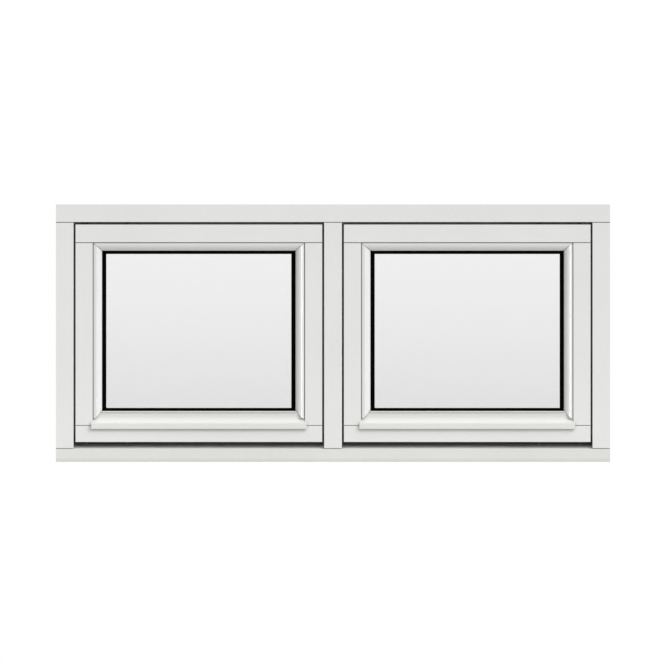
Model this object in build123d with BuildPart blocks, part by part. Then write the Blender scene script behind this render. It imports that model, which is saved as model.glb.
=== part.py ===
from build123d import *
import os
from math import hypot, radians, tan

os.makedirs("parts", exist_ok=True)

# All sizes are millimetres and all angles degrees.
# X runs along the width, the outside looks towards -Y and Z is up from the sill's underside.

# Frame
frame_width = 1400.0
frame_height = 650.0
frame_depth = 115.0
frame_face = 44.5
mullion_face = 44.9
stop_lap = 10.0
sill_face = 32.4
sill_slope = 17.0
sill_weathering = 24.0
sill_bed_slope = 3.0
sill_undercut = 3.0
sill_foot_radius = 1.0
flashing_groove_width = 4.0
flashing_groove_depth = 8.0
flashing_groove_setback = 14.0
fixing_radius = 5.0
fixing_end_distance = 150.0
fixing_setback = 27.0

# Rounding of painted edges and the narrow open groove along each joint
arris_radius = 0.6
inside_radius = 3.0
joint_width = 1.8
joint_depth = 5.0

# Sash and the clearances round it
side_clearance = 4.9
top_clearance = 6.4
bottom_clearance = 17.4
stile_face = 43.5
top_rail_face = 44.9
bottom_rail_face = 40.9
hardware_step = 8.0
sash_nose_depth = 20.0
lip_thickness = 16.0
lip_ovolo = 8.0
rebate_fall = 18.0
sash_drip_width = 4.0
sash_drip_depth = 3.0
sash_drip_setback = 8.0

# Glazing, counted inwards from the sash face
bead_seat = 11.0
gasket_thickness = 3.0
pane_thickness = 4.0
glass_cavity = 16.0
tape_thickness = 3.0
glass_edge_clearance = 5.0
edge_seal_width = 13.0
tape_setback = 2.0
gasket_side_band = 10.8
gasket_top_band = 8.5
gasket_bottom_band = 7.5

# Glazing beads
side_bead_width = 23.7
top_bead_width = 21.0
bead_quirk = 2.4
bead_quirk_depth = 7.0
quirk_arris = 0.5
bead_crest_width = 10.5
top_crest_width = 3.2
bead_crest_radius = 14.0
top_crest_radius = 2.0
bead_crest_rise = 0.5
bead_strip_fall = 10.0
bead_edge_depth = 9.0
ovolo_bulge = 0.11
shoulder_width = 6.5
shoulder_drop = 20.0
mitre_gap = 0.8

# Bottom bead: small fillet at the glass, hollow below it, drip nose
bottom_bead_height = 37.8
nose_top = 6.8
nose_height = 14.5
nose_projection = 6.5
nose_undercut = 0.8
nose_overlap = 4.2
nose_arris_radius = 1.0
drip_edge_width = 2.0
drip_recess = 3.0
fillet_setback = 1.5
fillet_fall = 1.2
fillet_height = 3.4
fillet_quirk = 2.0
hollow_lean = 1.6
hollow_drop = 11.4

# Weather seal
seal_thickness = 5.0
seal_base_thickness = 2.0
seal_margin = 1.0

# Friction stays
stay_length = 200.0
stay_width = 16.0
stay_arm_width = 13.0
stay_bar_thickness = 2.5
stay_arm_length = 130.0
stay_rivet_radius = 3.0
stay_rivet_inset = 14.0
stay_end_clearance = 6.0
stay_setback = 1.0

# Handles
handle_base_length = 64.0
handle_base_width = 26.0
handle_base_height = 9.0
handle_base_bevel = 2.0
handle_height = 335.0
handle_inset = 36.0
lever_neck_radius = 8.0
lever_reach = 34.0
lever_length = 112.0
lever_width = 19.0
lever_thickness = 9.0
lever_tip_width = 15.0
lever_bend_radius = 12.0
lever_bevel = 2.0

# Frame planes
front = -(frame_depth - nose_projection) / 2
back = front + frame_depth
lip_plane = bead_seat + gasket_thickness + 2 * pane_thickness + glass_cavity + tape_thickness
sash_depth = lip_plane + lip_thickness
rebate = front + sash_depth + seal_thickness
half_width = frame_width / 2
head_rebate = frame_height - frame_face
sill_break = front + sill_weathering
sill_bed = sill_face + sill_weathering * tan(radians(sill_slope))
sill_back = sill_bed + (rebate - sill_break) * tan(radians(sill_bed_slope))
joint_floor = front + joint_depth
joint_foot = sill_face + joint_depth * tan(radians(sill_slope))

# Left light and sash
light_left = -half_width + frame_face
light_right = -mullion_face / 2
sash_left = light_left + side_clearance
sash_right = light_right - side_clearance
sash_mid = (sash_left + sash_right) / 2
sash_bottom = sill_face + bottom_clearance
sash_top = head_rebate - top_clearance
head_stop = sash_top - hardware_step - stop_lap
sill_stop = sash_bottom + hardware_step + stop_lap
left_stop = sash_left + hardware_step + stop_lap
right_stop = sash_right - hardware_step - stop_lap
sash_front = front
sash_nose = sash_front + sash_nose_depth
sash_lip = sash_front + lip_plane
sash_back = sash_front + sash_depth
bead_left = sash_left + stile_face
bead_right = sash_right - stile_face
top_rail_edge = sash_top - top_rail_face
bottom_rail_edge = sash_bottom + bottom_rail_face
sight_left = bead_left + side_bead_width
sight_right = bead_right - side_bead_width
sight_top = top_rail_edge - top_bead_width
sight_bottom = bottom_rail_edge + bottom_bead_height
rebate_floor = bottom_rail_edge + lip_plane * tan(radians(rebate_fall))
sash_joint_floor = sash_front + joint_depth
sash_joint_foot = bottom_rail_edge + joint_depth * tan(radians(rebate_fall))
glass_left = bead_left + glass_edge_clearance
glass_right = bead_right - glass_edge_clearance
glass_bottom = rebate_floor + glass_edge_clearance
glass_top = top_rail_edge - glass_edge_clearance
bead_back = sash_front + bead_seat
gasket_back = bead_back + gasket_thickness
outer_pane_back = gasket_back + pane_thickness
inner_pane_front = outer_pane_back + glass_cavity
inner_pane_back = inner_pane_front + pane_thickness


def outline(points, mode=Mode.ADD):
    """Face bounded by straight lines through the points, in the sketch being drawn."""
    return Polygon(*points, align=None, mode=mode)


def corners(sketch, points):
    """Corners of a sketch that lie at the given points."""
    return [sketch.vertices().sort_by_distance(point)[0] for point in points]


def save(piece, label):
    """Name a finished piece and write it out."""
    piece.part.label = label
    export_step(piece.part, f"parts/{label}.step")


def mirrored(piece, plane):
    """The same piece for the other hand."""
    with BuildPart() as other:
        mirror(piece.part, about=plane)
    return other


def ring(outer, inner, y_from, y_to):
    """Rectangular ring lying in the plane of the glass; outer and inner are left, right, bottom, top."""
    with BuildPart() as band:
        with BuildSketch(Plane.XZ.offset(-y_to)):
            outline(rectangle_points(*outer))
            outline(rectangle_points(*inner), mode=Mode.SUBTRACT)
        extrude(amount=y_to - y_from)
    return band


def rectangle_points(left, right, bottom, top):
    """Corners of an upright rectangle."""
    return [(left, bottom), (right, bottom), (right, top), (left, top)]


# Head: rebated along its underside, stop at the back
with BuildPart() as head:
    with BuildSketch(Plane.YZ.offset(-half_width)) as head_section:
        outline([
            (front, frame_height),
            (front, head_rebate),
            (rebate, head_rebate),
            (rebate, head_stop),
            (back, head_stop),
            (back, frame_height),
        ])
        fillet(corners(head_section, [(front, head_rebate), (rebate, head_stop)]), arris_radius)
        fillet(corners(head_section, [(back, head_stop)]), inside_radius)
    extrude(amount=frame_width)
save(head, "head")

# Sill: weathered front with a flatter bed behind it, leaning front face, groove below for the flashing
with BuildPart() as sill:
    with BuildSketch(Plane.YZ.offset(-half_width)) as sill_section:
        outline([
            (front + sill_undercut, 0),
            (front, sill_face),
            (sill_break, sill_bed),
            (rebate, sill_back),
            (rebate, sill_stop),
            (back, sill_stop),
            (back, 0),
        ])
        fillet(corners(sill_section, [(front, sill_face), (rebate, sill_stop)]), arris_radius)
        fillet(corners(sill_section, [(back, sill_stop)]), inside_radius)
        fillet(corners(sill_section, [(front + sill_undercut, 0)]), sill_foot_radius)
        with Locations((front + flashing_groove_setback, 0)):
            Rectangle(flashing_groove_width, 2 * flashing_groove_depth, mode=Mode.SUBTRACT)
    extrude(amount=frame_width)
save(sill, "sill")


def post(face_left, face_right, stop_left, stop_right):
    """Square-edged upright of the frame: face block standing on the weathered sill, stop behind it."""
    with BuildPart() as body:
        with BuildSketch(Plane.YZ.offset(face_left)):
            outline([
                (front, sill_face + joint_width),
                (joint_floor, joint_foot + joint_width),
                (joint_floor, joint_foot),
                (sill_break, sill_bed),
                (rebate, sill_back),
                (rebate, head_rebate),
                (joint_floor, head_rebate),
                (joint_floor, head_rebate - joint_width),
                (front, head_rebate - joint_width),
            ])
        extrude(amount=face_right - face_left)
        with BuildSketch(Plane.YZ.offset(stop_left)):
            outline([
                (rebate, sill_stop),
                (back, sill_stop),
                (back, head_stop),
                (rebate, head_stop),
            ])
        extrude(amount=stop_right - stop_left)
    return body.part


# Left jamb, drilled through its stop for the fixing screws; the right jamb is its mirror image
with BuildPart() as left_jamb:
    add(post(-half_width, light_left, -half_width, left_stop))
    fillet(left_jamb.edges().filter_by(Axis.Z).group_by(Axis.Y)[0].sort_by(Axis.X)[-1], arris_radius)
    fillet(left_jamb.edges().filter_by(Axis.Z).group_by(Axis.Y)[-1].sort_by(Axis.X)[-1], inside_radius)
    with BuildSketch(Plane.YZ.offset(-half_width)):
        with Locations(
            (rebate + fixing_setback, fixing_end_distance),
            (rebate + fixing_setback, frame_height - fixing_end_distance),
        ):
            Circle(fixing_radius)
    extrude(amount=left_stop + half_width, mode=Mode.SUBTRACT)
save(left_jamb, "left_jamb")
right_jamb = mirrored(left_jamb, Plane.YZ)
save(right_jamb, "right_jamb")

# Mullion: T-shaped, a stop on each side
with BuildPart() as mullion:
    add(post(light_right, -light_right, right_stop, -right_stop))
    fillet(mullion.edges().filter_by(Axis.Z).group_by(Axis.Y)[0], arris_radius)
    fillet(mullion.edges().filter_by(Axis.Z).group_by(Axis.Y)[-1], inside_radius)
save(mullion, "mullion")

# Weather seal round the left light: flat base on the stop, bulb against the sash
seal_opening = rectangle_points(
    left_stop - seal_margin,
    right_stop + seal_margin,
    sill_stop - seal_margin,
    head_stop + seal_margin,
)
with BuildPart() as left_seal:
    with BuildSketch(Plane.XZ.offset(-rebate)):
        outline(rectangle_points(
            light_left + seal_margin,
            light_right - seal_margin,
            sill_back + seal_margin,
            head_rebate - seal_margin,
        ))
        outline(seal_opening, mode=Mode.SUBTRACT)
    extrude(amount=seal_base_thickness)
    with BuildSketch(Plane.XZ.offset(-rebate)):
        outline(rectangle_points(
            sash_left + hardware_step + seal_margin,
            sash_right - hardware_step - seal_margin,
            sash_bottom + hardware_step + seal_margin,
            sash_top - hardware_step - seal_margin,
        ))
        outline(seal_opening, mode=Mode.SUBTRACT)
    extrude(amount=seal_thickness)
    fillet(left_seal.faces().sort_by(Axis.Y)[0].edges(), seal_base_thickness)

# Plan of the sash: full width at the face, stepped back behind it for the hardware
sash_plan = [
    (sash_left, sash_front),
    (sash_right, sash_front),
    (sash_right, sash_nose),
    (sash_right - hardware_step, sash_nose),
    (sash_right - hardware_step, sash_back),
    (sash_left + hardware_step, sash_back),
    (sash_left + hardware_step, sash_nose),
    (sash_left, sash_nose),
]
sash_front_corners = [(sash_left, sash_front), (sash_right, sash_front)]

top_rail_points = [
    (sash_front, sash_top),
    (sash_front, top_rail_edge),
    (sash_lip, top_rail_edge),
    (sash_lip, sight_top),
    (sash_back, sight_top),
    (sash_back, sash_top - hardware_step),
    (sash_nose, sash_top - hardware_step),
    (sash_nose, sash_top),
]
bottom_rail_points = [
    (sash_front, sash_bottom),
    (sash_front, bottom_rail_edge),
    (sash_lip, rebate_floor),
    (sash_lip, sight_bottom),
    (sash_back, sight_bottom),
    (sash_back, sash_bottom + hardware_step),
    (sash_nose, sash_bottom + hardware_step),
    (sash_nose, sash_bottom),
]


def rail(points, inside_corner, outer_arris=None, inner_arris=None):
    """Rail moulded along its inside edge and stepped at its ends; its front edges are square unless named."""
    with BuildPart() as body:
        with BuildSketch(Plane.YZ.offset(sash_left)) as rail_section:
            outline(points)
            fillet(corners(rail_section, [inside_corner]), lip_ovolo)
            if outer_arris:
                fillet(corners(rail_section, [outer_arris]), arris_radius)
            if inner_arris:
                chamfer(corners(rail_section, [inner_arris]), quirk_arris)
        extrude(amount=sash_right - sash_left)
        with BuildSketch() as plan:
            outline(sash_plan)
            chamfer(corners(plan, sash_front_corners), arris_radius)
        extrude(amount=frame_height, mode=Mode.INTERSECT)
    return body.part


# Square-edged rails, to which the stiles are scribed
top_rail_blank = rail(top_rail_points, (sash_back, sight_top))
bottom_rail_blank = rail(bottom_rail_points, (sash_back, sight_bottom))

with BuildPart() as top_rail:
    add(rail(
        top_rail_points,
        (sash_back, sight_top),
        outer_arris=(sash_front, sash_top),
        inner_arris=(sash_front, top_rail_edge),
    ))

# Bottom rail: sloping rebate floor, drip groove under its nose
with BuildPart() as bottom_rail:
    add(rail(
        bottom_rail_points,
        (sash_back, sight_bottom),
        outer_arris=(sash_front, sash_bottom),
        inner_arris=(sash_front, bottom_rail_edge),
    ))
    with BuildSketch(Plane.YZ.offset(sash_left)):
        with Locations((sash_front + sash_drip_setback, sash_bottom)):
            Rectangle(sash_drip_width, 2 * sash_drip_depth)
    extrude(amount=sash_right - sash_left, mode=Mode.SUBTRACT)

# Hinge stile, scribed to the rails; the lock stile is its mirror image
with BuildPart() as hinge_stile:
    with BuildSketch(Plane.XY.offset(sash_bottom + hardware_step)) as stile_section:
        outline([
            (sash_left, sash_front),
            (bead_left, sash_front),
            (bead_left, sash_lip),
            (sight_left, sash_lip),
            (sight_left, sash_back),
            (sash_left + hardware_step, sash_back),
            (sash_left + hardware_step, sash_nose),
            (sash_left, sash_nose),
        ])
        chamfer(corners(stile_section, [(sash_left, sash_front)]), arris_radius)
        chamfer(corners(stile_section, [(bead_left, sash_front)]), quirk_arris)
        fillet(corners(stile_section, [(sight_left, sash_back)]), lip_ovolo)
    extrude(amount=sash_top - sash_bottom - 2 * hardware_step)
    add(top_rail_blank, mode=Mode.SUBTRACT)
    add(bottom_rail_blank, mode=Mode.SUBTRACT)
    with BuildSketch(Plane.YZ.offset(sash_left)):
        outline([
            (sash_front, top_rail_edge),
            (sash_front, top_rail_edge - joint_width),
            (sash_joint_floor, top_rail_edge - joint_width),
            (sash_joint_floor, top_rail_edge),
        ])
        outline([
            (sash_front, bottom_rail_edge),
            (sash_joint_floor, sash_joint_foot),
            (sash_joint_floor, sash_joint_foot + joint_width),
            (sash_front, bottom_rail_edge + joint_width),
        ])
    extrude(amount=stile_face, mode=Mode.SUBTRACT)
lock_stile = mirrored(hinge_stile, Plane.YZ.offset(sash_mid))


def bead_section(plane, place, crest_width, crest_radius, bead_width):
    """Section of a moulded bead; place turns a width across the bead and a depth into a sketch point."""
    crest = sash_front - bead_crest_rise
    lip = sash_front + bead_edge_depth
    quirk_floor = sash_front + bead_quirk_depth
    strip_edge = crest + (crest_width - bead_quirk) * tan(radians(bead_strip_fall))
    bulge = ovolo_bulge * hypot(bead_width - crest_width, lip - crest)
    with BuildSketch(plane) as section:
        with BuildLine():
            SagittaArc(place(crest_width, crest), place(bead_width, lip), -bulge)
            Polyline(
                place(bead_width, lip),
                place(bead_width, bead_back),
                place(0, bead_back),
                place(0, quirk_floor),
                place(bead_quirk, quirk_floor),
                place(bead_quirk, strip_edge),
                place(crest_width, crest),
            )
        make_face()
        fillet(corners(section, [place(crest_width, crest)]), crest_radius)
    return section.sketch


def from_stile(width, depth):
    """Point of a side bead's plan, its width measured from the stile."""
    return (bead_left + width, depth)


def from_rail(width, depth):
    """Point of the top bead's section, its width measured down from the rail."""
    return (depth, top_rail_edge - width)


def other_end(points):
    """The same points at the other end of the sash."""
    return [(2 * sash_mid - x, z) for x, z in points]


# Raking cut where a side bead stands on the bottom bead, from the sight corner to a level shoulder
shoulder = bead_left + shoulder_width
shoulder_level = sight_bottom - shoulder_drop
bottom_bead_cut = [
    (bead_left, sight_bottom),
    (sight_left, sight_bottom),
    (shoulder, shoulder_level),
    (bead_left, shoulder_level),
]
side_bead_cut = [
    (bead_left, bottom_rail_edge),
    (sight_left, bottom_rail_edge),
    (sight_left, sight_bottom + mitre_gap),
    (shoulder, shoulder_level + mitre_gap),
    (bead_left, shoulder_level + mitre_gap),
]

# Bottom bead: fillet at the glass, hollow running out to a drip nose that laps the stiles
fillet_face = sash_front + fillet_setback
hollow_head = (fillet_face + fillet_quirk, sight_bottom - fillet_height)
hollow_waist = (hollow_head[0] + hollow_lean, hollow_head[1] - hollow_drop)
nose_edge = (sash_front - nose_projection, bottom_rail_edge + nose_top)
nose_foot = bottom_rail_edge + nose_top - nose_height
drip_front = sash_front - nose_projection + nose_undercut
nose_end_cut = [
    (bead_left - nose_overlap, nose_edge[1]),
    (bead_left, nose_edge[1] + 2 * nose_overlap),
    (bead_left, sight_bottom),
    (bead_left - nose_overlap, sight_bottom),
]
with BuildPart() as bottom_bead:
    with BuildSketch(Plane.YZ.offset(bead_left - nose_overlap)) as bottom_bead_section:
        with BuildLine():
            TangentArc(hollow_waist, nose_edge, tangent=(hollow_lean, -hollow_drop))
            Polyline(
                hollow_waist,
                hollow_head,
                (fillet_face, sight_bottom - fillet_height),
                (fillet_face, sight_bottom - fillet_fall),
                (bead_back, sight_bottom),
                (bead_back, bottom_rail_edge + bead_seat * tan(radians(rebate_fall))),
                (sash_front, bottom_rail_edge),
                (sash_front, nose_foot + drip_recess),
                (drip_front + drip_edge_width + drip_recess / 2, nose_foot + drip_recess),
                (drip_front + drip_edge_width, nose_foot),
                (drip_front, nose_foot),
                nose_edge,
            )
        make_face()
        fillet(corners(bottom_bead_section, [nose_edge]), nose_arris_radius)
    extrude(amount=bead_right - bead_left + 2 * nose_overlap)
    with BuildSketch(Plane.XZ.offset(-bead_back)):
        with Locations((sash_mid, (sight_bottom + nose_foot) / 2)):
            Rectangle(bead_right - bead_left + 2 * nose_overlap, sight_bottom - nose_foot)
            Rectangle(bead_right - bead_left, sight_bottom - nose_foot, mode=Mode.SUBTRACT)
    extrude(amount=bead_seat, mode=Mode.SUBTRACT)
    with BuildSketch(Plane.XZ.offset(-bead_back)):
        outline(nose_end_cut)
        outline(other_end(nose_end_cut))
        outline(bottom_bead_cut)
        outline(other_end(bottom_bead_cut))
    extrude(amount=bead_seat + nose_projection, mode=Mode.SUBTRACT)

# Top bead, mitred to the side beads
with BuildPart() as top_bead:
    extrude(
        bead_section(
            Plane.YZ.offset(bead_left), from_rail, top_crest_width, top_crest_radius, top_bead_width
        ),
        amount=bead_right - bead_left,
    )
    with BuildSketch(Plane.XZ.offset(-bead_back)):
        outline([
            (sight_left, sight_top),
            (sight_right, sight_top),
            (bead_right, top_rail_edge),
            (bead_left, top_rail_edge),
        ])
    extrude(amount=bead_seat + bead_crest_rise, mode=Mode.INTERSECT)

# Side bead: mitred at the top, cut on the rake over the bottom bead
with BuildPart() as hinge_bead:
    extrude(
        bead_section(
            Plane.XY.offset(shoulder_level), from_stile, bead_crest_width, bead_crest_radius, side_bead_width
        ),
        amount=top_rail_edge - shoulder_level,
    )
    with BuildSketch(Plane.XZ.offset(-bead_back)):
        outline([
            (sight_left, sight_top - mitre_gap),
            (sight_left, top_rail_edge),
            (bead_left, top_rail_edge),
            (bead_left, top_rail_edge - mitre_gap),
        ])
        outline(side_bead_cut)
    extrude(amount=bead_seat + bead_crest_rise, mode=Mode.SUBTRACT)
lock_bead = mirrored(hinge_bead, Plane.YZ.offset(sash_mid))

# Sealed double glazing with its gasket outside and tape inside
glass_edges = (glass_left, glass_right, glass_bottom, glass_top)
gasket = ring(
    glass_edges,
    (
        sight_left + gasket_side_band,
        sight_right - gasket_side_band,
        sight_bottom + gasket_bottom_band,
        sight_top - gasket_top_band,
    ),
    bead_back,
    gasket_back,
)
spacer = ring(
    glass_edges,
    (
        glass_left + edge_seal_width,
        glass_right - edge_seal_width,
        glass_bottom + edge_seal_width,
        glass_top - edge_seal_width,
    ),
    outer_pane_back,
    inner_pane_front,
)
tape = ring(
    glass_edges,
    (
        sight_left - tape_setback,
        sight_right + tape_setback,
        sight_bottom - tape_setback,
        sight_top + tape_setback,
    ),
    inner_pane_back,
    sash_lip,
)

with BuildPart() as outer_pane:
    with BuildSketch(Plane.XZ.offset(-outer_pane_back)):
        outline(rectangle_points(*glass_edges))
    extrude(amount=pane_thickness)

with BuildPart() as inner_pane:
    with BuildSketch(Plane.XZ.offset(-inner_pane_back)):
        outline(rectangle_points(*glass_edges))
    extrude(amount=pane_thickness)

# Friction stays: track on the frame, bar on the sash, riveted arms folded between them
stay_left = sash_left + hardware_step + stay_end_clearance
stay_back = sash_back - stay_setback
stay_front = stay_back - stay_width
stay_middle = (stay_front + stay_back) / 2


def stay(sash_edge, frame_edge):
    """Folded stay filling the hardware space between the sash edge and the frame."""
    towards_frame = 1 if frame_edge > sash_edge else -1
    arm_level = (sash_edge + frame_edge - stay_bar_thickness) / 2
    with BuildPart() as body:
        with BuildSketch(Plane.XY.offset(sash_edge)):
            with Locations((stay_left + stay_length / 2, stay_middle)):
                Rectangle(stay_length, stay_arm_width)
        extrude(amount=towards_frame * stay_bar_thickness)
        with BuildSketch(Plane.XY.offset(frame_edge)):
            with Locations((stay_left + stay_length / 2, stay_middle)):
                Rectangle(stay_length, stay_width)
        extrude(amount=-towards_frame * stay_bar_thickness)
        with BuildSketch(Plane.XY.offset(arm_level)):
            with Locations((stay_left + stay_arm_length / 2, stay_middle)):
                Rectangle(stay_arm_length, stay_arm_width)
        extrude(amount=stay_bar_thickness)
        with BuildSketch(Plane.XY.offset(sash_edge)):
            with Locations(
                (stay_left + stay_rivet_inset, stay_middle),
                (stay_left + stay_arm_length - stay_rivet_inset, stay_middle),
            ):
                Circle(stay_rivet_radius)
        extrude(amount=frame_edge - sash_edge)
    return body.part


with BuildPart() as top_stay:
    add(stay(sash_top - hardware_step, head_rebate))

stay_seat = sill_bed + (stay_back - sill_break) * tan(radians(sill_bed_slope))
stay_seat_front = sill_bed + (stay_front - sill_break) * tan(radians(sill_bed_slope))
with BuildPart() as bottom_stay:
    add(stay(sash_bottom + hardware_step, stay_seat))
    with BuildSketch(Plane.YZ.offset(stay_left)):
        outline([(stay_front, stay_seat_front), (stay_back, stay_seat), (stay_front, stay_seat)])
    extrude(amount=stay_length)

# Handle on the inside of the lock stile
handle_x = sash_right - handle_inset
handle_plane = Plane(origin=(handle_x, sash_back, handle_height), x_dir=(1, 0, 0), z_dir=(0, 1, 0))
with BuildPart() as handle_base:
    with BuildSketch(handle_plane):
        SlotOverall(handle_base_length, handle_base_width, rotation=90)
    extrude(amount=handle_base_height)
    chamfer(handle_base.faces().sort_by(Axis.Y)[-1].edges(), handle_base_bevel)

# Lever: bent bar tapering to its tip, on a round neck
grip_y = sash_back + lever_reach
lever_start = sash_back + handle_base_height
lever_tip = handle_height - lever_length
lever_top = handle_height + lever_thickness / 2
with BuildPart() as handle_lever:
    with BuildSketch(Plane.YZ.offset(handle_x)):
        with BuildLine():
            FilletPolyline(
                (lever_start, handle_height),
                (grip_y, handle_height),
                (grip_y, lever_tip),
                radius=lever_bend_radius,
            )
        trace(line_width=lever_thickness)
    extrude(amount=lever_width / 2, both=True)
    with BuildSketch(Plane.XZ.offset(-lever_start)):
        outline([
            (handle_x - lever_width / 2, lever_top),
            (handle_x + lever_width / 2, lever_top),
            (handle_x + lever_tip_width / 2, lever_tip),
            (handle_x - lever_tip_width / 2, lever_tip),
        ])
    extrude(amount=-2 * lever_reach, mode=Mode.INTERSECT)
    chamfer(
        handle_lever.faces().sort_by(Axis.X)[0].edges() + handle_lever.faces().sort_by(Axis.X)[-1].edges(),
        lever_bevel,
    )
    with BuildSketch(handle_plane.offset(handle_base_height)):
        Circle(lever_neck_radius)
    extrude(amount=lever_reach / 2 - handle_base_height)

# Left sash as built, right sash as its mirror image
for piece, label in (
    (left_seal, "weather_seal"),
    (top_rail, "sash_top_rail"),
    (bottom_rail, "sash_bottom_rail"),
    (hinge_stile, "sash_hinge_stile"),
    (lock_stile, "sash_lock_stile"),
    (top_bead, "top_bead"),
    (bottom_bead, "bottom_bead"),
    (hinge_bead, "hinge_side_bead"),
    (lock_bead, "lock_side_bead"),
    (gasket, "glazing_gasket"),
    (outer_pane, "outer_pane"),
    (spacer, "spacer_bar"),
    (inner_pane, "inner_pane"),
    (tape, "glazing_tape"),
    (top_stay, "top_stay"),
    (bottom_stay, "bottom_stay"),
    (handle_base, "handle_base"),
    (handle_lever, "handle_lever"),
):
    save(piece, f"left_{label}")
    save(mirrored(piece, Plane.YZ), f"right_{label}")
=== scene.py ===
import math

import bmesh
import bpy
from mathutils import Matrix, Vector


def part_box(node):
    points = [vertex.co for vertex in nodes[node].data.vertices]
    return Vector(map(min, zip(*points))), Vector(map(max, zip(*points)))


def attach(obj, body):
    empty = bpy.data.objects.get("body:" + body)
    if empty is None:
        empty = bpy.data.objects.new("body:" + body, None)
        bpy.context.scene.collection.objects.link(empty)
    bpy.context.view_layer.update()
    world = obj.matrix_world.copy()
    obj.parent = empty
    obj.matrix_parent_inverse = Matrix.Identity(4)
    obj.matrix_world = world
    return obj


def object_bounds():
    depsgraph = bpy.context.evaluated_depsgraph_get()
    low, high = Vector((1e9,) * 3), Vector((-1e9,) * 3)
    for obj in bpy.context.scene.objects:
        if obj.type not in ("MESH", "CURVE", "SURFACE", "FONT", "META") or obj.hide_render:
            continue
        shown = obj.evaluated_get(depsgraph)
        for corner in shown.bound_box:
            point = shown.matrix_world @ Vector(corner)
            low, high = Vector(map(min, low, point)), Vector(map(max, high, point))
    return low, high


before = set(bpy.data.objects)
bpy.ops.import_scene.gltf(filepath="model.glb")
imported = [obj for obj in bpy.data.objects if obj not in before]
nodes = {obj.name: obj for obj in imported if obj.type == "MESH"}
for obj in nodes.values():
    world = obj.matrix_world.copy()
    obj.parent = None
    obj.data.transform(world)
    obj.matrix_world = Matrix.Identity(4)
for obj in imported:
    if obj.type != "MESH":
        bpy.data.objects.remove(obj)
cad_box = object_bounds()
window_low, window_high = cad_box
window_size = window_high - window_low
window_middle = (window_low + window_high) / 2

# The photograph's frame, in pixels, and how far in metres the camera stands from the window
IMAGE_SIZE = 665
WINDOW_PIXELS = 554.2
WINDOW_CENTRE = (333.0, 333.07)
CAMERA_DISTANCE = 3.0

# Lamps: direction from the window, strength, angular size in degrees, colour, seen in gloss
LAMPS = {
    "key": ((0.60, -0.47, 0.65), 2.04, 32, (1.0, 1.0, 1.06), True),
    "top": ((0.15, -0.45, 1.0), 0.59, 30, (1.0, 1.0, 1.08), False),
    "front": ((0.06, -1.0, 0.06), 0.39, 20, (1.0, 1.0, 0.92), False),
    "glint": ((0.176, -1.0, 0.02), 0.11, 5, (1.0, 1.0, 1.0), True),
    "back": ((-0.5, 1.0, 0.22), 1.4, 40, (1.0, 1.0, 1.04), True),
}

# Studio walls: their light on the window, its colour, and how bright they are in gloss
AMBIENT = 0.38
AMBIENT_COLOUR = (1.0, 1.0, 0.96, 1.0)
MIRRORED_WALLS = 0.7
WHITE = (1.0, 1.0, 1.0, 1.0)

# Floor: paint tones, roughness, corners, and the distances in metres over which it fades out
FLOOR_TONES = ((0.590, 0.588, 0.560), (0.620, 0.618, 0.590))
FLOOR_ROUGHNESS = 0.9
FLOOR_CORNERS = ((-1, -1), (1, -1), (1, 1), (-1, 1))
FLOOR_FADE = (1.0, 2.0)

# Patterns: features to a metre, layers of finer detail, and the share of each finer layer
GRAIN = {"scale": 30.0, "detail": 6.0, "roughness": 0.6}
CLOUD = {"scale": 5.0, "detail": 2.0}
PEEL = {"scale": 420.0, "detail": 2.0}
BLOOM = {"scale": 60.0, "detail": 4.0}
GRIT = {"scale": 900.0, "detail": 2.0}
BRUSHING = {"scale": 260.0, "detail": 5.0, "roughness": 0.7}
SMUDGE = {"scale": 25.0, "detail": 3.0}
PEBBLE = {"scale": 1200.0, "detail": 2.0}
HAZE = {"scale": 9.0, "detail": 2.0}
FLOOR_CLOUD = {"scale": 3.0, "detail": 3.0}

# Stretch of a pattern along each axis
LEVEL = (1.0, 0.06, 0.06)
UPRIGHT = (0.06, 0.06, 1.0)
EVEN = (1.0, 1.0, 1.0)

# Relief of each finish: strength, and height in metres
PAINT_RELIEF = (0.12, 0.0004)
RUBBER_RELIEF = (0.15, 0.0003)
BRUSHED_RELIEF = (0.1, 0.0002)
COATED_RELIEF = (0.2, 0.0002)

# Paint: darker and lighter tone of most members, then of the sill and bottom bead painted warmer and
# a touch darker as a painted shade, and how its patterns show
FRESH = ((0.742, 0.742, 0.733), (0.771, 0.771, 0.764))
WARM_SHADED_TONES = ((0.738, 0.736, 0.712), (0.767, 0.765, 0.742))
TONE_SPAN = (0.5, 1.0)
GRAIN_IN_TONE = 0.5
GRAIN_IN_RELIEF = 1.5
PAINT_ROUGHNESS = (0.42, 0.56)
GLOSS_SPAN = (0.5, 1.1)
CLOUD_IN_GLOSS = 0.6
PAINT_SPECULAR = 0.25
PAINT_COAT = 0.8
PAINT_COAT_ROUGHNESS = 0.10

# Painted shade in narrow joints and crevices: colour, widest joint in metres that gets it, and
# heights above the floor where it is held back at the sill's foot
PAINTED_CREVICE_SHADE = (0.40, 0.40, 0.36)
CREVICE_SHADE_REACH = 0.009
CREVICE_SHADE_SAMPLES = 8
OPENNESS_SPAN = (0.2, 1.0)
SHADE_HELD_BACK_HEIGHTS = (0.004, 0.012)
SHADE_HELD_BACK_SHARES = (0.85, 0.0)

# Rubber: shade, roughness, height in metres below which it gets a painted shade, and tones of bloom
# and of that painted shade
SEAL = {"shade": 0.28, "roughness": 0.6, "shade_line": 0.075}
GASKET = {"shade": 0.0008, "roughness": 0.7, "shade_line": 0.0}
TAPE = {"shade": 0.01, "roughness": 0.8, "shade_line": 0.0}
BLOOM_TONE = 1.8
SHADE_BELOW_TONE = (0.5, 0.5, 0.45)
SHADE_LINE_FADE = 0.01
RUBBER_ROUGHNESS_SPREAD = 0.15
RUBBER_SPECULAR = 0.02

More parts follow.
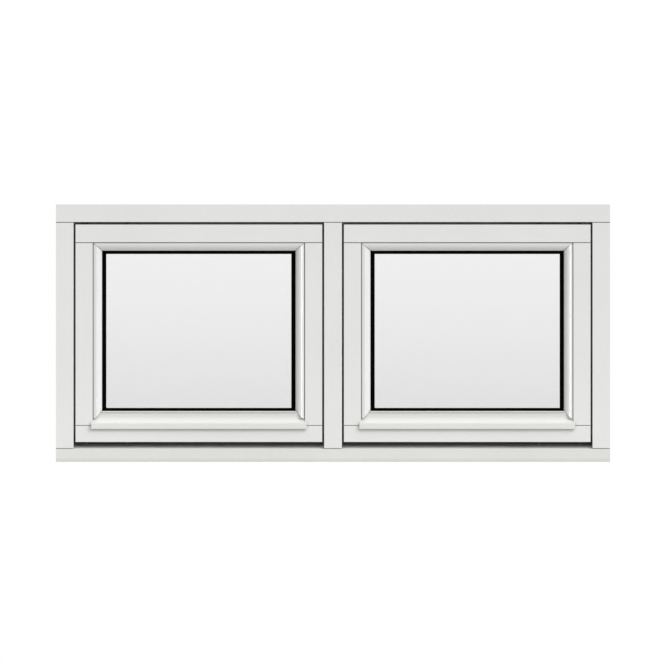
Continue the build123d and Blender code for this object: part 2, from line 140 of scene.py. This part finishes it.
# Metal: colour and roughness, and how far its patterns lighten it and spread its gloss
HANDLE = {"colour": (0.58, 0.58, 0.57), "roughness": 0.26}
FITTING = {"colour": (0.50, 0.50, 0.50), "roughness": 0.22}
BRUSHED_TONE = 1.12
BRUSHED_ROUGHNESS_SPREAD = 0.16
LINES_IN_GLOSS = 0.6
SPACER_COLOUR = (0.012, 0.012, 0.012)
STAY_COLOUR = (0.14, 0.14, 0.135)
COATED_TONE = 1.5
COATED_ROUGHNESS = (0.5, 0.65)

# Glass: tint at the top and at the foot of each pane, the foot darker as a painted shade, how that
# painted shade grows towards the foot, and how the pane mirrors
OUTER_TINT_AND_SHADE = ((0.993, 0.993, 0.993), (0.920, 0.920, 0.920))
INNER_TINT_AND_SHADE = ((0.970, 0.970, 0.970), (0.966, 0.966, 0.966))
FOOT_SHADE_POWER = 1.5
HAZE_IN_TINT = 0.02
GLASS_ROUGHNESS = 0.02
MIRROR_RANGE = (0.04, 1.0)
MIRROR_STEEPNESS = 5.0

# Handle fittings, metres; profiles are radius and height above the handle base
RING_SEGMENTS = 40
SCREW_SPACING = 0.043
SCREW_PROFILE = ((0.0036, -0.0003), (0.0036, 0.0002), (0.0031, 0.0007), (0.0024, 0.0010))
RECESS_ARM = 0.0019
RECESS_HALF_WIDTH = 0.00045
RECESS_FLOOR = 0.0002
RECESS_TAPER = 0.7
COLLAR_PROFILE = (
    (0.0081, -0.0003),
    (0.0106, -0.0003),
    (0.0106, 0.0009),
    (0.0098, 0.0016),
    (0.0081, 0.0016),
)
QUARTER_TURNS = (1, 1j, -1, -1j)
SHARP_ANGLE = math.radians(35)

# Sockets known by their place, because others of the same node share their names
BLEND_COLOURS = (6, 7)
BLEND_RESULT = 2
MIXED_SHADERS = (1, 2)

# Range of a noise or a share
UNIT = (0.0, 1.0)


class Shader:
    """A material under construction: its node tree and short ways to add to it."""

    def __init__(self, name):
        self.material = bpy.data.materials.new(name)
        self.material.use_nodes = True
        self.tree = self.material.node_tree
        self.surface = self.tree.nodes["Principled BSDF"]
        self.output = self.tree.nodes["Material Output"]

    def put(self, node, socket, value):
        """Set one input of a node to a value, or link it to another node's output."""
        if isinstance(value, bpy.types.NodeSocket):
            self.tree.links.new(value, node.inputs[socket])
        else:
            node.inputs[socket].default_value = value

    def fill(self, node, **inputs):
        """Set or link several inputs of a node, by name."""
        for name, value in inputs.items():
            self.put(node, name.replace("_", " "), value)

    def add(self, kind, **inputs):
        """A new node of the given kind."""
        node = self.tree.nodes.new("ShaderNode" + kind)
        self.fill(node, **inputs)
        return node

    def place(self, stretch):
        """Object coordinates, in metres, divided along each axis by stretch."""
        coordinates = self.add("TexCoord").outputs["Object"]
        mapping = self.add("Mapping", Vector=coordinates, Scale=[1 / axis for axis in stretch])
        return mapping.outputs["Vector"]

    def height(self):
        """Height above the floor, in metres."""
        coordinates = self.add("TexCoord").outputs["Object"]
        return self.add("SeparateXYZ", Vector=coordinates).outputs["Z"]

    def noise(self, vector, scale, detail, roughness=0.5):
        """Noise with features of about 1 / scale metres."""
        node = self.add("TexNoise", Vector=vector, Scale=scale, Detail=detail, Roughness=roughness)
        return node.outputs["Fac"]

    def between(self, value, inputs, results=UNIT):
        """Value taken from a range of inputs to a range of results."""
        node = self.add("MapRange", Value=value)
        self.fill(node, From_Min=inputs[0], From_Max=inputs[1])
        self.fill(node, To_Min=results[0], To_Max=results[1])
        return node.outputs["Result"]

    def calculate(self, operation, *values):
        """Result of one arithmetic step."""
        node = self.add("Math")
        node.operation = operation
        for place, value in enumerate(values):
            self.put(node, place, value)
        return node.outputs["Value"]

    def plus(self, value, other, share):
        """Value plus a share of the other."""
        return self.calculate("MULTIPLY_ADD", other, share, value)

    def blend(self, factor, *colours):
        """Colour between two colours, each of them a triple or another node's output."""
        node = self.add("Mix")
        node.data_type = "RGBA"
        self.put(node, "Factor", factor)
        for place, colour in zip(BLEND_COLOURS, colours):
            linked = isinstance(colour, bpy.types.NodeSocket)
            self.put(node, place, colour if linked else (*colour, 1.0))
        return node.outputs[BLEND_RESULT]

    def bump(self, height, strength, distance):
        """Normal from a height."""
        node = self.add("Bump", Height=height, Strength=strength, Distance=distance)
        return node.outputs["Normal"]

    def mix(self, factor, *shaders):
        """Make the material a mix of two shaders."""
        node = self.add("MixShader", Fac=factor)
        for place, shader in zip(MIXED_SHADERS, shaders):
            self.put(node, place, shader.outputs["BSDF"])
        self.put(self.output, "Surface", node.outputs["Shader"])


def scaled(colour, tone):
    """Colour made lighter or darker."""
    return tuple(part * tone for part in colour)


def painted_timber(name, direction, tones):
    """Satin paint: faint orange peel, the grain just telling through, painted shade in narrow joints
    and crevices.
    """
    paint = Shader(name)
    everywhere = paint.place(EVEN)
    grain = paint.noise(paint.place(direction), **GRAIN)
    cloud = paint.noise(everywhere, **CLOUD)
    peel = paint.noise(everywhere, **PEEL)
    tone = paint.plus(cloud, grain, GRAIN_IN_TONE)
    unshaded = paint.blend(paint.between(tone, TONE_SPAN), *tones)
    # Painted shade: the paint darkens towards a grey in narrow joints, crevices and close under
    # overhangs such as the drip nose.
    occlusion = paint.add("AmbientOcclusion", Distance=CREVICE_SHADE_REACH)
    occlusion.samples = CREVICE_SHADE_SAMPLES
    openness = paint.between(occlusion.outputs["AO"], OPENNESS_SPAN)
    # The painted shade is held back near the floor, where the floor alone would darken the sill's
    # foot.
    shade_held_back = paint.between(paint.height(), SHADE_HELD_BACK_HEIGHTS, SHADE_HELD_BACK_SHARES)
    unshaded_share = paint.calculate("MAXIMUM", openness, shade_held_back)
    gloss = paint.plus(peel, cloud, CLOUD_IN_GLOSS)
    relief = paint.plus(peel, grain, GRAIN_IN_RELIEF)
    paint.fill(
        paint.surface,
        Base_Color=paint.blend(unshaded_share, PAINTED_CREVICE_SHADE, unshaded),
        Roughness=paint.between(gloss, GLOSS_SPAN, PAINT_ROUGHNESS),
        Specular_IOR_Level=PAINT_SPECULAR,
        Coat_Weight=PAINT_COAT,
        Coat_Roughness=PAINT_COAT_ROUGHNESS,
        Normal=paint.bump(relief, *PAINT_RELIEF),
    )
    return paint.material


def rubber(name, shade, roughness, shade_line):
    """Extruded rubber with a faint bloom, darker below a given height as a painted shade."""
    skin = Shader(name)
    everywhere = skin.place(EVEN)
    bloom = skin.noise(everywhere, **BLOOM)
    grit = skin.noise(everywhere, **GRIT)
    bare = (shade, shade, shade)
    bloomed = scaled(bare, BLOOM_TONE)
    # Painted shade: the rubber is darker below the shade line, fading in over a centimetre.
    shaded_below = scaled(SHADE_BELOW_TONE, shade)
    above_shade_line = skin.between(skin.height(), (shade_line - SHADE_LINE_FADE, shade_line))
    skin.fill(
        skin.surface,
        Base_Color=skin.blend(above_shade_line, shaded_below, skin.blend(bloom, bare, bloomed)),
        Roughness=skin.between(bloom, UNIT, (roughness, roughness + RUBBER_ROUGHNESS_SPREAD)),
        Specular_IOR_Level=RUBBER_SPECULAR,
        Normal=skin.bump(grit, *RUBBER_RELIEF),
    )
    return skin.material


def brushed_metal(name, direction, colour, roughness):
    """Satin metal brushed in one direction."""
    metal = Shader(name)
    lines = metal.noise(metal.place(direction), **BRUSHING)
    smudge = metal.noise(metal.place(EVEN), **SMUDGE)
    gloss = metal.plus(smudge, lines, LINES_IN_GLOSS)
    metal.fill(
        metal.surface,
        Base_Color=metal.blend(lines, colour, scaled(colour, BRUSHED_TONE)),
        Metallic=1.0,
        Roughness=metal.between(gloss, UNIT, (roughness, roughness + BRUSHED_ROUGHNESS_SPREAD)),
        Normal=metal.bump(lines, *BRUSHED_RELIEF),
    )
    return metal.material


def coated_metal(name, colour):
    """Powder coat with a fine pebbled skin."""
    coat = Shader(name)
    pebble = coat.noise(coat.place(EVEN), **PEBBLE)
    coat.fill(
        coat.surface,
        Base_Color=coat.blend(pebble, colour, scaled(colour, COATED_TONE)),
        Roughness=coat.between(pebble, UNIT, COATED_ROUGHNESS),
        Normal=coat.bump(pebble, *COATED_RELIEF),
    )
    return coat.material


def glass(name, tint_and_shade):
    """Clear pane: mirrors by its angle, and passes a little less light towards its foot as a painted
    shade.
    """
    low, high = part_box("left_outer_pane")
    pane = Shader(name)
    pane.tree.nodes.remove(pane.surface)
    # Painted shade: the pane passes less light towards its foot.
    fall = pane.between(pane.height(), (high.z, low.z))
    foot_shade = pane.calculate("POWER", fall, FOOT_SHADE_POWER)
    haze = pane.noise(pane.place(EVEN), **HAZE)
    tint_with_shade = pane.blend(pane.plus(foot_shade, haze, HAZE_IN_TINT), *tint_and_shade)
    clear = pane.add("BsdfTransparent", Color=tint_with_shade)
    mirror = pane.add("BsdfGlossy", Roughness=GLASS_ROUGHNESS)
    slant = pane.calculate("POWER", pane.add("LayerWeight").outputs["Facing"], MIRROR_STEEPNESS)
    pane.mix(pane.between(slant, UNIT, MIRROR_RANGE), clear, mirror)
    return pane.material


def dress(material, *words):
    """Give a material to every node whose name ends with one of the words."""
    for name, node in nodes.items():
        if name.endswith(words):
            node.data.materials.clear()
            node.data.materials.append(material)


def dress_window():
    """Give every node of the window its material."""
    dress(painted_timber("paint_level", LEVEL, FRESH), "head", "top_rail", "bottom_rail", "top_bead")
    dress(painted_timber("paint_upright", UPRIGHT, FRESH), "jamb", "mullion", "stile", "side_bead")
    # The sill and bottom bead are painted warmer and a touch darker, a painted shade.
    dress(painted_timber("paint_warm_shaded", LEVEL, WARM_SHADED_TONES), "sill", "bottom_bead")
    dress(rubber("seal_rubber", **SEAL), "weather_seal")
    dress(rubber("gasket_rubber", **GASKET), "glazing_gasket")
    dress(rubber("tape_foam", **TAPE), "glazing_tape")
    dress(coated_metal("spacer_black", SPACER_COLOUR), "spacer_bar")
    dress(coated_metal("stay_coat", STAY_COLOUR), "stay")
    dress(brushed_metal("handle_satin", UPRIGHT, **HANDLE), "handle_base", "handle_lever")
    dress(glass("glass_outer", OUTER_TINT_AND_SHADE), "outer_pane")
    dress(glass("glass_inner", INNER_TINT_AND_SHADE), "inner_pane")


def ring(form, centre, radius, height):
    """Circle of points round the handle's axis."""
    turns = [2 * math.pi * step / RING_SEGMENTS for step in range(RING_SEGMENTS)]
    offsets = [Vector((radius * math.cos(turn), height, radius * math.sin(turn))) for turn in turns]
    return [form.verts.new(centre + offset) for offset in offsets]


def cross(form, centre, scale, height):
    """Outline of a cross recess, its corners held as complex numbers to be turned by quarters."""
    arm = RECESS_ARM * scale
    half = RECESS_HALF_WIDTH * scale
    quarter = (complex(arm, -half), complex(arm, half), complex(half, half))
    corners = [corner * turn for turn in QUARTER_TURNS for corner in quarter]
    offsets = [Vector((corner.real, height, corner.imag)) for corner in corners]
    return [form.verts.new(centre + offset) for offset in offsets]


def loop_edges(form, points):
    """Edges closing a loop of points."""
    pairs = zip(points, points[1:] + points[:1])
    return [form.edges.get(pair) or form.edges.new(pair) for pair in pairs]


def skirt(form, low, high):
    """Faces between two loops of as many points."""
    for index in range(len(low)):
        after = (index + 1) % len(low)
        form.faces.new((low[index], low[after], high[after], high[index]))


def settle(form, name, material):
    """Turn a finished form into a piece of the window."""
    bmesh.ops.recalc_face_normals(form, faces=form.faces)
    mesh = bpy.data.meshes.new(name)
    form.to_mesh(mesh)
    form.free()
    mesh.materials.append(material)
    mesh.shade_smooth()
    mesh.set_sharp_from_angle(angle=SHARP_ANGLE)
    piece = bpy.data.objects.new(name, mesh)
    bpy.context.scene.collection.objects.link(piece)
    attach(piece, "root")


def add_screw(name, centre, material):
    """Raised screw head with a cross recess."""
    form = bmesh.new()
    loops = [ring(form, centre, radius, height) for radius, height in SCREW_PROFILE]
    form.faces.new(loops[0])
    for low, high in zip(loops, loops[1:]):
        skirt(form, low, high)
    crown = SCREW_PROFILE[-1][1]
    mouth = cross(form, centre, 1.0, crown)
    floor = cross(form, centre, RECESS_TAPER, RECESS_FLOOR)
    rim = loop_edges(form, loops[-1]) + loop_edges(form, mouth)
    bmesh.ops.triangle_fill(form, edges=rim, use_beauty=True)
    skirt(form, mouth, floor)
    form.faces.new(floor)
    settle(form, name, material)


def add_collar(name, centre, material):
    """Turned collar round the lever's neck."""
    form = bmesh.new()
    loops = [ring(form, centre, radius, height) for radius, height in COLLAR_PROFILE]
    for low, high in zip(loops, loops[1:] + loops[:1]):
        skirt(form, low, high)
    settle(form, name, material)


def add_handle_fittings():
    """Collar and two screws on each handle base."""
    steel = brushed_metal("fitting_steel", EVEN, **FITTING)
    rise = Vector((0, 0, SCREW_SPACING / 2))
    for side in ("left", "right"):
        low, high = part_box(side + "_handle_base")
        centre = Vector(((low.x + high.x) / 2, high.y, (low.z + high.z) / 2))
        add_collar(side + "_handle_collar", centre, steel)
        add_screw(side + "_handle_upper_screw", centre + rise, steel)
        add_screw(side + "_handle_lower_screw", centre - rise, steel)


def floor_paint():
    """Matt floor paint, fading out into the white studio round it."""
    paint = Shader("floor_matt")
    everywhere = paint.place(EVEN)
    cloud = paint.noise(everywhere, **FLOOR_CLOUD)
    paint.fill(
        paint.surface,
        Base_Color=paint.blend(cloud, *FLOOR_TONES),
        Roughness=FLOOR_ROUGHNESS,
        Specular_IOR_Level=0.0,
    )
    reach = paint.add("VectorMath", Vector=everywhere)
    reach.operation = "LENGTH"
    fade = paint.between(reach.outputs["Value"], FLOOR_FADE)
    fade.node.interpolation_type = "SMOOTHSTEP"
    paint.mix(fade, paint.surface, paint.add("BsdfTransparent"))
    return paint.material


def add_floor():
    """Plain pale floor under the window."""
    half = FLOOR_FADE[1]
    mesh = bpy.data.meshes.new("floor")
    mesh.from_pydata([(x * half, y * half, 0) for x, y in FLOOR_CORNERS], [], [(0, 1, 2, 3)])
    mesh.materials.append(floor_paint())
    floor = bpy.data.objects.new("floor", mesh)
    bpy.context.scene.collection.objects.link(floor)


def add_lamp(name, direction, strength, degrees, colour, mirrored):
    """Distant lamp standing in the given direction; gloss shows it if mirrored."""
    light = bpy.data.lights.new(name, "SUN")
    light.energy = strength
    light.angle = math.radians(degrees)
    light.color = colour
    lamp = bpy.data.objects.new(name, light)
    lamp.rotation_euler = Vector(direction).to_track_quat("Z", "Y").to_euler()
    lamp.visible_glossy = mirrored
    bpy.context.scene.collection.objects.link(lamp)


def add_lamps():
    """Soft key from the upper right, with lamps above, in front and behind to fill it in."""
    for name, lamp in LAMPS.items():
        add_lamp(name, *lamp)


def add_walls():
    """Studio walls: white behind the window, softer in its gloss, and an even light on it."""
    world = bpy.data.worlds.new("studio")
    world.use_nodes = True
    tree = world.node_tree
    lighting = tree.nodes["Background"]
    lighting.inputs["Color"].default_value = AMBIENT_COLOUR
    lighting.inputs["Strength"].default_value = AMBIENT
    walls = tree.nodes.new("ShaderNodeBackground")
    walls.inputs["Color"].default_value = WHITE
    path = tree.nodes.new("ShaderNodeLightPath")
    brightness = tree.nodes.new("ShaderNodeMapRange")
    brightness.inputs["To Min"].default_value = MIRRORED_WALLS
    tree.links.new(path.outputs["Is Camera Ray"], brightness.inputs["Value"])
    tree.links.new(brightness.outputs["Result"], walls.inputs["Strength"])
    mix = tree.nodes.new("ShaderNodeMixShader")
    tree.links.new(path.outputs["Is Diffuse Ray"], mix.inputs["Fac"])
    for place, background in zip(MIXED_SHADERS, (walls, lighting)):
        tree.links.new(background.outputs["Background"], mix.inputs[place])
    tree.links.new(mix.outputs["Shader"], tree.nodes["World Output"].inputs["Surface"])
    bpy.context.scene.world = world


def add_camera():
    """Straight-on elevation, framed as the photograph is."""
    metres_per_pixel = window_size.x / WINDOW_PIXELS
    lens = bpy.data.cameras.new("camera")
    lens.type = "ORTHO"
    lens.ortho_scale = IMAGE_SIZE * metres_per_pixel
    camera = bpy.data.objects.new("camera", lens)
    camera.rotation_euler = (math.pi / 2, 0, 0)
    camera.location = (
        window_middle.x - (WINDOW_CENTRE[0] - IMAGE_SIZE / 2) * metres_per_pixel,
        window_low.y - CAMERA_DISTANCE,
        window_middle.z + (WINDOW_CENTRE[1] - IMAGE_SIZE / 2) * metres_per_pixel,
    )
    bpy.context.scene.collection.objects.link(camera)
    bpy.context.scene.camera = camera


dress_window()
add_handle_fittings()
add_floor()
add_lamps()
add_walls()
add_camera()
bpy.context.scene.view_settings.view_transform = "Standard"
bpy.context.scene.view_settings.look = "None"
